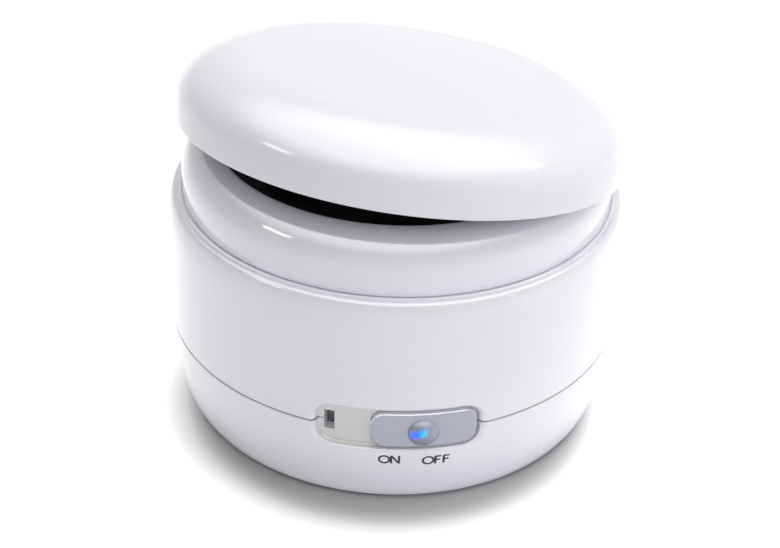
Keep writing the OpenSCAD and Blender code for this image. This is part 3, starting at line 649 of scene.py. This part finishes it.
class LENS_OT_collar(bpy.types.Operator):
    """The glossy collar ring round the tank's mouth"""
    bl_idname = "lens_cleaner.collar"
    bl_label = "Collar"

    def execute(self, context):
        s = context.scene.cleaner_casing
        # The crown is a quarter ellipse, 5.93 mm wide and 6.3 mm high.
        a = np.radians(np.linspace(0, 90, 26))
        crown = np.stack([34.2 + 5.93 * np.cos(a), 47.7 + 6.3 * np.sin(a)], -1)
        foot = [[39.83, 43.54], [39.95, 43.62], [40.06, 43.76], [40.12, 43.95], [40.13, 44.3], [40.13, 46.2]]
        inside = [[33.9, 53.97], [33.62, 53.84], [33.42, 53.6], [33.32, 53.25], [33.3, 52.8],
                  [33.3, 49.5], [33.3, 46.0], [33.32, 45.75], [33.5, 45.7], [36.6, 45.7], [36.8, 45.6],
                  [36.8, 43.8], [36.9, 43.54]]
        outline = np.concatenate([np.array(foot), crown, np.array(inside)])
        ring = closed(surface("collar", turned(outline, 256), wrap_rows=True, wrap_columns=True))
        smooth(ring, 50)
        settle(ring, "base", "collar_ring", shell_white(s, "collar_white", 0.12, 0.6), "collar_ring")
        return {"FINISHED"}


class LENS_OT_tank(bpy.types.Operator):
    """The black tank that holds the cleaning fluid"""
    bl_idname = "lens_cleaner.tank"
    bl_label = "Tank"

    def execute(self, context):
        s = context.scene.cleaner_casing
        corners = [(0.0, 27.7, 0), (27.2, 27.7, 0.6), (30.8, 29.3, 0.6), (31.6, 32.3, 1.0),
                   (31.6, 41.0, 0.4), (33.2, 42.6, 0.4), (33.2, 44.3, 0.15), (36.6, 44.3, 0.2),
                   (36.6, 45.7, 0.2), (33.2, 45.7, 0.15), (33.2, 52.8, 0.5), (31.8, 52.8, 0.5),
                   (31.8, 44.0, 0.15), (30.2, 44.0, 0.3), (30.2, 30.3, 3.0), (0.0, 30.3, 0)]
        outline = rounded(corners)
        outline[:, 0] = np.maximum(outline[:, 0], 0)
        cup = closed(surface("tank", turned(outline, 192), wrap_rows=True, wrap_columns=True))
        smooth(cup)
        f = plastic("tank_black", tuple(s.tank_colour), 0.3, 0.2, 0.08, peel=0.01, specular_ior_level=0.25)
        settle(cup, "base", "tank_cup", f, "tank_cup")
        rubber = plastic("seal_rubber", linear(96, 98, 104), 0.55, 0.1, 0.15, grain=0.02)
        polished("tank_gasket", rubber, 0.1)
        return {"FINISHED"}


def lid_ring(name, outline, segments, angle):
    """A piece of the lid, turned from an outline (r, height over the lid's lip) and carried to stand ajar."""
    points = turned(outline, segments)
    points[..., 2] += LID_SEAT
    obj = closed(surface(name, moved(points, ajar()), wrap_rows=True, wrap_columns=True))
    smooth(obj, angle)
    return obj


class LENS_OT_lid(bpy.types.Operator):
    """The lid, its hinge knuckle, its liner and its seal, standing ajar"""
    bl_idname = "lens_cleaner.lid"
    bl_label = "Lid"

    def execute(self, context):
        s = context.scene.cleaner_casing
        lid = context.scene.cleaner_lid
        r, h, crown = lid.radius / MM, lid.height / MM, lid.crown / MM
        # The edge is a quarter ellipse, 13.4 mm wide and 8.8 mm high outside, and the top rises as 1 - n^2.
        side = r + 0.2
        a = np.radians(np.linspace(0, 90, 34))
        n = np.linspace(1, 0, 10)[1:]
        outer = np.stack([side - 13.4 * (1 - np.cos(a)), 4.2 + 8.8 * np.sin(a)], -1)
        top = np.stack([28.4 * n, h + crown * (1 - n ** 2)], -1)
        under = np.stack([28.2 * n[::-1], h - 1.1 + crown * (1 - n[::-1] ** 2)], -1)
        inner = np.stack([side - 1.1 - 12.3 * (1 - np.cos(a)), 4.2 + 7.7 * np.sin(a)], -1)[::-1]
        lip = np.array([[40.72, 1.6], [40.66, 0.6], [40.7, 0.22], [40.86, 0.05], [41.1, 0.0], [41.34, 0.03],
                        [41.5, 0.14], [41.58, 0.3], [41.61, 0.5], [41.62, 0.8], [41.66, 1.5], [41.72, 2.6],
                        [41.78, 3.5]])
        cap = lid_ring("lid_cap", np.concatenate([lip, outer, top, under, inner]), 256, 55)
        white = shell_white(s, "lid_white", 0.14, 0.0)
        settle(cap, "lid", "lid_shell", white, "lid_shell")
        turn = np.radians(np.linspace(-128, 112, 40))
        knuckle = np.stack([HINGE_R + KNUCKLE_R * np.cos(turn), HINGE_Z + KNUCKLE_R * np.sin(turn)], -1)
        web = np.array([[41.2, 46.9], [41.2, 44.15]])
        shape = np.concatenate([knuckle, web])
        x = np.array([-6.0, -5.92, -5.7, -5.5, 5.5, 5.7, 5.92, 6.0])
        inset = np.array([0.25, 0.08, 0.0, 0.0, 0.0, 0.0, 0.08, 0.25])
        away = shape - shape.mean(0)
        away /= np.linalg.norm(away, axis=1)[:, None]
        ring = shape[None] - away[None] * inset[:, None, None]
        grid = np.concatenate([np.broadcast_to(x[:, None, None], ring.shape[:2] + (1,)), ring], -1)
        barrel = closed(surface("lid_knuckle", moved(grid, ajar()), wrap_columns=True, caps=True))
        smooth(barrel)
        settle(barrel, "lid", "lid_shell", white)
        corners = [(0.0, 11.85, 0), (28.2, 11.85, 0.2), (28.2, 10.7, 0.2), (30.6, 10.7, 0.3),
                   (30.6, 9.81, 0.1), (29.8, 9.81, 0.1), (29.8, 8.41, 0.1), (30.6, 8.41, 0.1),
                   (30.6, 7.7, 0.3), (29.0, 7.7, 0.3), (29.0, 10.5, 0.8), (0.0, 10.5, 0)]
        liner = lid_ring("lid_lining", rounded(corners), 192, 40)
        lining = plastic("lining_white", linear(222, 222, 224), 0.3, 0.03, 0.1, grain=0.01)
        settle(liner, "lid", "lid_liner", lining, "lid_liner")
        corners = [(29.8, 8.41, 0.15), (31.15, 8.41, 0.3), (31.5, 9.1, 0.4), (31.15, 9.81, 0.3),
                   (29.8, 9.81, 0.15)]
        seal = lid_ring("lid_ring_seal", rounded(corners), 192, 40)
        rubber = plastic("lid_seal_rubber", linear(112, 114, 120), 0.5, 0.08, 0.15, grain=0.015)
        settle(seal, "lid", "lid_seal", rubber, "lid_seal")
        polished("hinge_pin", metal("pin_steel", linear(196, 196, 200), 0.25), 0.12)
        return {"FINISHED"}


def plate_grid(length, height, corner, face, back, rim):
    """The switch plate: rings of a rounded rectangle pulled in by d, each at its own radius from the axis.
    From the back edge it rises to the rim, bends over by a quarter ellipse rim wide and 0.75 rim high and
    runs to the middle."""
    t = np.linspace(0, 2 * np.pi, 240, endpoint=False)
    straight = 0.4
    cx, cy = length / 2 - corner, height / 2 - corner
    quarter = np.floor(t / (np.pi / 2))
    along = (t - quarter * np.pi / 2) / (np.pi / 2)
    span = np.clip((along - straight) / (1 - straight), 0, 1)
    angle = quarter * np.pi / 2 + span * np.pi / 2
    run = np.clip(along / straight, 0, 1)
    side = quarter.astype(int)
    sx = np.array([1, -1, -1, 1])[side]
    sy = np.array([1, 1, -1, -1])[side]
    from_x = np.array([1, 1, -1, -1])[side]
    from_y = np.array([-1, 1, 1, -1])[side]
    px = from_x * cx + (sx - from_x) * cx * run
    py = from_y * cy + (sy - from_y) * cy * run
    q = np.radians(np.linspace(0, 90, 7))
    inset = np.concatenate([[0.0, 0.0], rim * (1 - np.cos(q)), [rim + 0.12, rim + 0.5]])
    bend = rim * 0.75
    radius = np.concatenate([[back, back + 0.3], face - bend + bend * np.sin(q), [face, face]])
    x = px + (corner - inset[:, None]) * np.cos(angle)
    y = py + (corner - inset[:, None]) * np.sin(angle)
    depth = np.broadcast_to(radius[:, None], x.shape)
    shrink = np.array([0.75, 0.45, 0.2, 0.0])[:, None]
    x = np.concatenate([x, x[-1] * shrink * 0.999])
    y = np.concatenate([y, y[-1] * shrink])
    depth = np.concatenate([depth, np.full((4, len(t)), face)])
    return x, y, depth


def wrapped(x, z, r, az0):
    """Flat x and z laid round the body: azimuth is az0 + asin(x / 42.6 mm), at distance r from the axis."""
    a = np.radians(az0) + np.arcsin(np.clip(x / 42.6, -1, 1))
    return np.stack([r * np.sin(a), -r * np.cos(a), z], -1)


class LENS_OT_switch(bpy.types.Operator):
    """The sliding switch plate, its dome with the blue light, the carrier and the window behind it"""
    bl_idname = "lens_cleaner.switch"
    bl_label = "Switch"

    def execute(self, context):
        s = context.scene.cleaner_switch
        x, y, r = plate_grid(s.length / MM, s.height / MM, PLATE_CORNER, PLATE_FACE, 41.6, 0.6)
        plate = closed(surface("switch_plate", wrapped(x, PLATE_Z + y, r, PLATE_AZ), wrap_columns=True))
        smooth(plate, 60)
        silver = switch_paint("plate_silver", tuple(s.plate_colour))
        settle(plate, "slider", "slider_cap", silver, "slider_cap")
        a = np.radians(np.linspace(0, 360, 72, endpoint=False))
        cap = np.linspace(1, 0, 14)
        # The dome rises 1.6 mm by the part of a half circle that lies inside 0.965 of its radius.
        rise, part = 1.6, 0.965
        edge = math.sqrt(1 - part ** 2)
        bulge = rise * (np.sqrt(1 - (part * cap) ** 2) - edge) / (1 - edge)
        rho = np.concatenate([[2.5, 2.8], 2.76 * cap])
        up = np.concatenate([[-0.6, 0.0], bulge])
        across = rho[:, None] * np.cos(a)
        high = rho[:, None] * np.sin(a)
        turn = Matrix.Rotation(math.radians(PLATE_AZ), 4, "Z")
        front = np.broadcast_to(-(PLATE_FACE + up)[:, None], across.shape)
        grid = np.stack([across - 0.25, front, PLATE_Z - 0.35 + high], -1)
        dome = closed(surface("switch_dome", moved(grid, turn), wrap_columns=True))
        smooth(dome, 50)
        pearl = dome_glass("dome_pearl", tuple(s.dome_colour), tuple(s.glow_colour))
        settle(dome, "slider", "slider_dome", pearl, "slider_dome")
        az = np.linspace(-13.3, -4.2, 60)
        z = np.linspace(-4.0, 4.0, 40)
        aa, zz = np.meshgrid(np.radians(az), z)
        r = 41.37 + 0.05 * np.clip((4.0 - np.abs(zz)) / 0.3, 0, 1)
        lining = np.stack([r * np.sin(aa), -r * np.cos(aa), RECESS["z"] + zz], -1)
        lining = surface("recess_lining", lining)
        lining.data.shade_smooth()
        walled(lining, 0.1)
        # Painted shade: the lining's white is darker and warmer than the casing's, as the recess floor is.
        tone_and_painted_shade = plastic("recess_cream_painted_shade", linear(226, 224, 222), 0.3, 0.02, 0.08, grain=0.006)
        settle(lining, "base", "upper_casing", tone_and_painted_shade)
        carrier = plastic("carrier_plastic", linear(214, 214, 212), 0.4, 0.05, 0.1, grain=0.01)
        dressed(["slider_carrier"], carrier)
        f = Finish("window_grey_painted_shade", coat_weight=0.5, coat_roughness=0.08)
        wx = f.axes()[0]
        # Painted shade: the window's right side is darker, standing in for the shadow of its wall. The grey
        # itself is the smoked insert's own colour.
        f.set("Base Color", wx.ramp(-0.0106, -0.0092).blend(linear(96, 97, 95), linear(52, 52, 51)))
        f.set("Roughness", 0.24 + 0.1 * f.noise(900.0))
        dressed(["window_insert"], f.material)
        return {"FINISHED"}


def stroke(path, width):
    """A pen stroke: each path point carries a flat rectangle across the path, width wide and 0.05 deep.
    Returns points (path, 4, 3) as x, z and depth."""
    path = np.array(path, float)
    ahead = np.gradient(path, axis=0)
    ahead /= np.linalg.norm(ahead, axis=1)[:, None]
    across = np.stack([-ahead[:, 1], ahead[:, 0]], -1) * width / 2
    left, right = path + across, path - across
    flat = np.stack([left, right, right, left], 1)
    depth = np.broadcast_to(np.array([0.01, 0.01, -0.04, -0.04])[None, :, None], flat.shape[:2] + (1,))
    return np.concatenate([flat, depth], -1)


def line(start, end):
    """Seven points (x, z) along a straight line."""
    return np.linspace(start, end, 7)


def letter_paths(letter, h):
    """Pen paths of the letters O, N and F in a box h high, as lists of (x, z) points, and the step to the
    next letter."""
    if letter == "O":
        t = np.linspace(0, 2 * np.pi, 49)
        return [np.stack([h * 0.5 + h * 0.44 * np.cos(t), h * 0.5 + h * 0.44 * np.sin(t)], -1)], h * 1.06
    if letter == "N":
        w = h * 0.74
        left = line((0.07, 0), (0.07, h))
        slant = line((0.1, h - 0.08), (w - 0.1, 0.08))
        right = line((w - 0.07, 0), (w - 0.07, h))
        return [left, slant, right], w + h * 0.16
    w = h * 0.5
    stem = line((0.07, 0), (0.07, h))
    top = line((0.07, h - 0.1), (w, h - 0.1))
    bar = line((0.07, h * 0.53), (w * 0.9, h * 0.53))
    return [stem, top, bar], w + h * 0.2


class LENS_OT_lettering(bpy.types.Operator):
    """The words ON and OFF printed under the switch"""
    bl_idname = "lens_cleaner.lettering"
    bl_label = "Lettering"

    def execute(self, context):
        s = context.scene.cleaner_switch
        casing = context.scene.cleaner_casing
        h = s.letter_height / MM
        ink = plastic("ink", tuple(s.ink_colour), 0.4, 0.15, 0.1)
        for word, az0, az1, low in (("ON", -2.19, 2.94, 9.85), ("OFF", 8.35, 15.18, 9.45)):
            pen = 0.0
            strokes = []
            for letter in word:
                paths, step = letter_paths(letter, h)
                strokes += [stroke(p + np.array([pen, 0]), PEN_WIDTH) for p in paths]
                pen += step
            scale = math.radians(az1 - az0) * PRINT_R / (pen - h * 0.14)
            parts = []
            for points in strokes:
                z = low + points[..., 1]
                r = bowl_radius(z, casing) + SKIN + points[..., 2]
                a = math.radians(az0) + points[..., 0] * scale / PRINT_R
                ink_line = np.stack([r * np.sin(a), -r * np.cos(a), z], -1)
                parts.append(surface("stroke", ink_line, wrap_columns=True, caps=True))
            with context.temp_override(active_object=parts[0], selected_editable_objects=parts):
                bpy.ops.object.join()
            parts[0].name = "word_" + word.lower()
            parts[0].data.name = parts[0].name
            closed(parts[0])
            smooth(parts[0], 30)
            settle(parts[0], "base", "lower_casing", ink)
        return {"FINISHED"}


class LENS_OT_tray(bpy.types.Operator):
    """The lens tray with its two wells and pierced caps"""
    bl_idname = "lens_cleaner.tray"
    bl_label = "Lens tray"

    def execute(self, context):
        polished("lens_tray", plastic("tray_black", linear(18, 18, 20), 0.34, 0.2, 0.08, grain=0.008), 0.2)
        polished("lens_cap_left", plastic("cap_blue", linear(20, 44, 84), 0.3, 0.15, 0.06, grain=0.006), 0.2)
        polished("lens_cap_right", plastic("cap_grey", linear(62, 64, 68), 0.3, 0.15, 0.06, grain=0.006), 0.2)
        return {"FINISHED"}


class LENS_OT_underside(bpy.types.Operator):
    """The battery cover, the rubber feet and the screws under the casing"""
    bl_idname = "lens_cleaner.underside"
    bl_label = "Underside"

    def execute(self, context):
        s = context.scene.cleaner_casing
        cover = plastic("cover_white", tuple(s.shell_colour), 0.3, 0.03, 0.1, grain=0.012)
        polished("battery_cover", cover, 0.2)
        polished("rubber_feet", plastic("foot_rubber", linear(70, 71, 74), 0.7, 0.15, 0.15, grain=0.03), 0.25)
        polished("casing_screws", metal("screw_steel", linear(176, 176, 180), 0.3), 0.08)
        return {"FINISHED"}


class LENS_OT_works(bpy.types.Operator):
    """The motor, board, switch, cells and wiring inside the casing"""
    bl_idname = "lens_cleaner.works"
    bl_label = "Works"

    def execute(self, context):
        steel = metal("plated_steel", linear(186, 187, 192), 0.28)
        polished("motor_can", steel, 0.15)
        polished("motor_shaft", metal("shaft_steel", linear(205, 205, 208), 0.18), 0.08)
        polished("eccentric_weight", metal("weight_brass", linear(196, 164, 96), 0.3), 0.15)
        polished("battery_springs", steel, 0.0)
        dressed(["battery_contacts", "board_screws", "motor_screws", "bay_screws"], steel)
        black = plastic("works_black", linear(44, 45, 48), 0.42, 0.15, 0.12, grain=0.015)
        dressed(["motor_bracket", "battery_bay"], black)
        dressed(["slide_switch_body"], plastic("switch_dark", linear(60, 62, 66), 0.4, 0.1, 0.1, grain=0.01))
        chip = plastic("chip_black", linear(26, 26, 28), 0.5, 0.2, 0.1, grain=0.01)
        dressed(["slide_switch_knob", "board_chips"], chip)
        dressed(["led"], plastic("led_milk", linear(206, 222, 240), 0.2, 0.05, 0.05, coat_weight=0.4))
        dressed(["circuit_board"], board_mask("board_green"))
        polished("battery_cell_front", cell_sleeve("cell_sleeve_front", 1.0), 0.12)
        polished("battery_cell_back", cell_sleeve("cell_sleeve_back", -1.0), 0.12)
        wire = plastic("wire_red", linear(168, 34, 30), 0.42, 0.1, 0.1, grain=0.01)
        polished("motor_leads", wire, 0.0)
        polished("battery_leads", wire, 0.0)
        return {"FINISHED"}


# Stage

def lamp(name, power, size, place, aim, glint=False):
    """A rectangular lamp at a place in metres, facing its aim point. A glint lamp shows in gloss alone,
    and the others light the object and don't show in its gloss."""
    data = bpy.data.lights.new(name, "AREA")
    data.shape = "RECTANGLE"
    data.size, data.size_y = size
    data.energy = power
    obj = bpy.data.objects.new(name, data)
    bpy.context.scene.collection.objects.link(obj)
    obj.location = place
    obj.rotation_euler = (Vector(aim) - Vector(place)).to_track_quat("-Z", "Y").to_euler()
    obj.visible_glossy = glint
    obj.visible_diffuse = not glint


class LENS_OT_stage(bpy.types.Operator):
    """The white floor, the surroundings, the lamps and the camera"""
    bl_idname = "lens_cleaner.stage"
    bl_label = "Stage"

    def execute(self, context):
        scene = context.scene
        s = scene.cleaner_stage
        scene.view_settings.view_transform = "Standard"
        r = np.array([4.0, 2.0, 0.8, 0.3, 0.1, 0.0])[:, None] * 1000
        a = np.linspace(0, 2 * np.pi, 64, endpoint=False)
        level = np.full((len(r), len(a)), -0.02)
        floor = surface("floor", np.stack([r * np.sin(a), -r * np.cos(a), level], -1), wrap_columns=True)
        closed(floor, recalculate=False)
        f = Finish("floor_white", roughness=0.6)
        f.set("Specular IOR Level", 0.1)
        path = f.root.node("ShaderNodeLightPath", out="Is Camera Ray")
        seen = path.maths("MAXIMUM", path, Wire(path.tree, path.socket.node.outputs["Is Glossy Ray"]))
        # The seen floor has a painted shadow: it darkens close to the front of the base, and a painted glow
        # lightens it up to white further out.
        x, y, _ = f.axes()
        forward = y + 0.009
        reach = (x * x + forward * forward) ** 0.5
        near = reach.ramp(0.034, 0.041, 0.5, 1.0).blend((0.0, 0.0, 0.0), (0.93, 0.93, 0.93))
        f.set("Base Color", seen.blend((0.86, 0.86, 0.87), near))
        away = reach.ramp(0.036, 0.048, 0.0, 0.62)
        f.set("Emission Color", (seen * away).blend((0.0, 0.0, 0.0), (1.0, 1.0, 1.0)))
        f.set("Emission Strength", 1.0)
        # From below, the floor is clear.
        under = f.root.node("ShaderNodeNewGeometry", out="Backfacing")
        clear = f.root.node("ShaderNodeBsdfTransparent")
        plain = Wire(f.root.tree, f.shader.outputs[0])
        both = f.root.node("ShaderNodeMixShader", None, {0: under, 1: plain, 2: clear})
        output = next(n for n in f.root.tree.nodes if n.type == "OUTPUT_MATERIAL")
        f.root.tree.links.new(both.socket, output.inputs["Surface"])
        floor.data.materials.append(f.material)
        world = bpy.data.worlds.new("surroundings")
        scene.world = world
        world.use_nodes = True
        sky = Wire(world.node_tree)
        path = sky.node("ShaderNodeLightPath", out="Is Camera Ray")
        rays = path.socket.node.outputs
        others = [Wire(path.tree, rays[n]) for n in ("Is Glossy Ray", "Is Transmission Ray")]
        seen = path.maths("MAXIMUM", path, others[0].maths("MAXIMUM", others[0], others[1]))
        background = next(n for n in world.node_tree.nodes if n.type == "BACKGROUND")
        background.inputs["Color"].default_value = (1.0, 1.0, 1.0, 1.0)
        up = sky.node("ShaderNodeSeparateXYZ", None, {0: sky.node("ShaderNodeTexCoord")}, "Z")
        bright = others[0] * up.ramp(0.5, 0.9, 0.0, 4.0)
        strength = seen * (1.0 - s.sky_strength) + s.sky_strength + bright
        world.node_tree.links.new(strength.socket, background.inputs["Strength"])
        lamp("overhead_lamp", s.key_power, (0.55, 0.45), (0.16, 0.1, 0.62), (0, 0, 0.03))
        lamp("side_lamp", s.side_power, (0.3, 0.4), (0.62, -0.28, 0.3), (0, 0, 0.03))
        lamp("front_lamp", s.fill_power, (0.9, 0.3), (-0.1, -0.75, 0.22), (0, 0, 0.04))
        lamp("left_glint", s.glint_power, (0.14, 0.05), (-0.421, -0.209, 0.308), (0, -0.03, 0.06), True)
        lamp("right_glint", s.glint_power, (0.05, 0.16), (0.372, 0.032, 0.415), (0, -0.03, 0.06), True)
        data = bpy.data.cameras.new("camera")
        data.sensor_fit = "HORIZONTAL"
        data.sensor_width = 36.0
        data.lens = CAMERA_LENS
        data.clip_start = 0.01
        camera = bpy.data.objects.new("camera", data)
        scene.collection.objects.link(camera)
        right = Vector(CAMERA_RIGHT)
        up = Vector(CAMERA_UP)
        back = right.cross(up)
        turn = Matrix((right, up, back)).transposed().to_4x4()
        camera.matrix_world = Matrix.Translation(CAMERA_PLACE) @ turn
        scene.camera = camera
        return {"FINISHED"}


class LENS_PT_panel(bpy.types.Panel):
    """Lists the pieces of the lens cleaner and their sizes"""
    bl_label = "Lens cleaner"
    bl_idname = "LENS_PT_panel"
    bl_space_type = "VIEW_3D"
    bl_region_type = "UI"
    bl_category = "Lens cleaner"

    def draw(self, context):
        for kind in OPERATORS:
            self.layout.operator(kind.bl_idname)
        for group, name in GROUPS:
            settings = getattr(context.scene, name)
            for key in group.__annotations__:
                self.layout.prop(settings, key)


OPERATORS = (LENS_OT_casing, LENS_OT_collar, LENS_OT_tank, LENS_OT_lid, LENS_OT_switch, LENS_OT_lettering,
             LENS_OT_tray, LENS_OT_underside, LENS_OT_works, LENS_OT_stage)
GROUPS = ((CASING_settings, "cleaner_casing"), (LID_settings, "cleaner_lid"),
          (SWITCH_settings, "cleaner_switch"), (STAGE_settings, "cleaner_stage"))


def register():
    """Registers the classes and puts their settings on the scene."""
    for kind in (*[g for g, name in GROUPS], *OPERATORS, LENS_PT_panel):
        bpy.utils.register_class(kind)
    for group, name in GROUPS:
        setattr(bpy.types.Scene, name, PointerProperty(type=group))


def unregister():
    """Takes the settings off the scene and the classes out again."""
    for _, name in GROUPS:
        delattr(bpy.types.Scene, name)
    for kind in (LENS_PT_panel, *OPERATORS, *[g for g, name in GROUPS]):
        bpy.utils.unregister_class(kind)


def main():
    register()
    for kind in OPERATORS:
        group, name = kind.bl_idname.split(".")
        getattr(getattr(bpy.ops, group), name)()


if __name__ == "__main__":
    main()
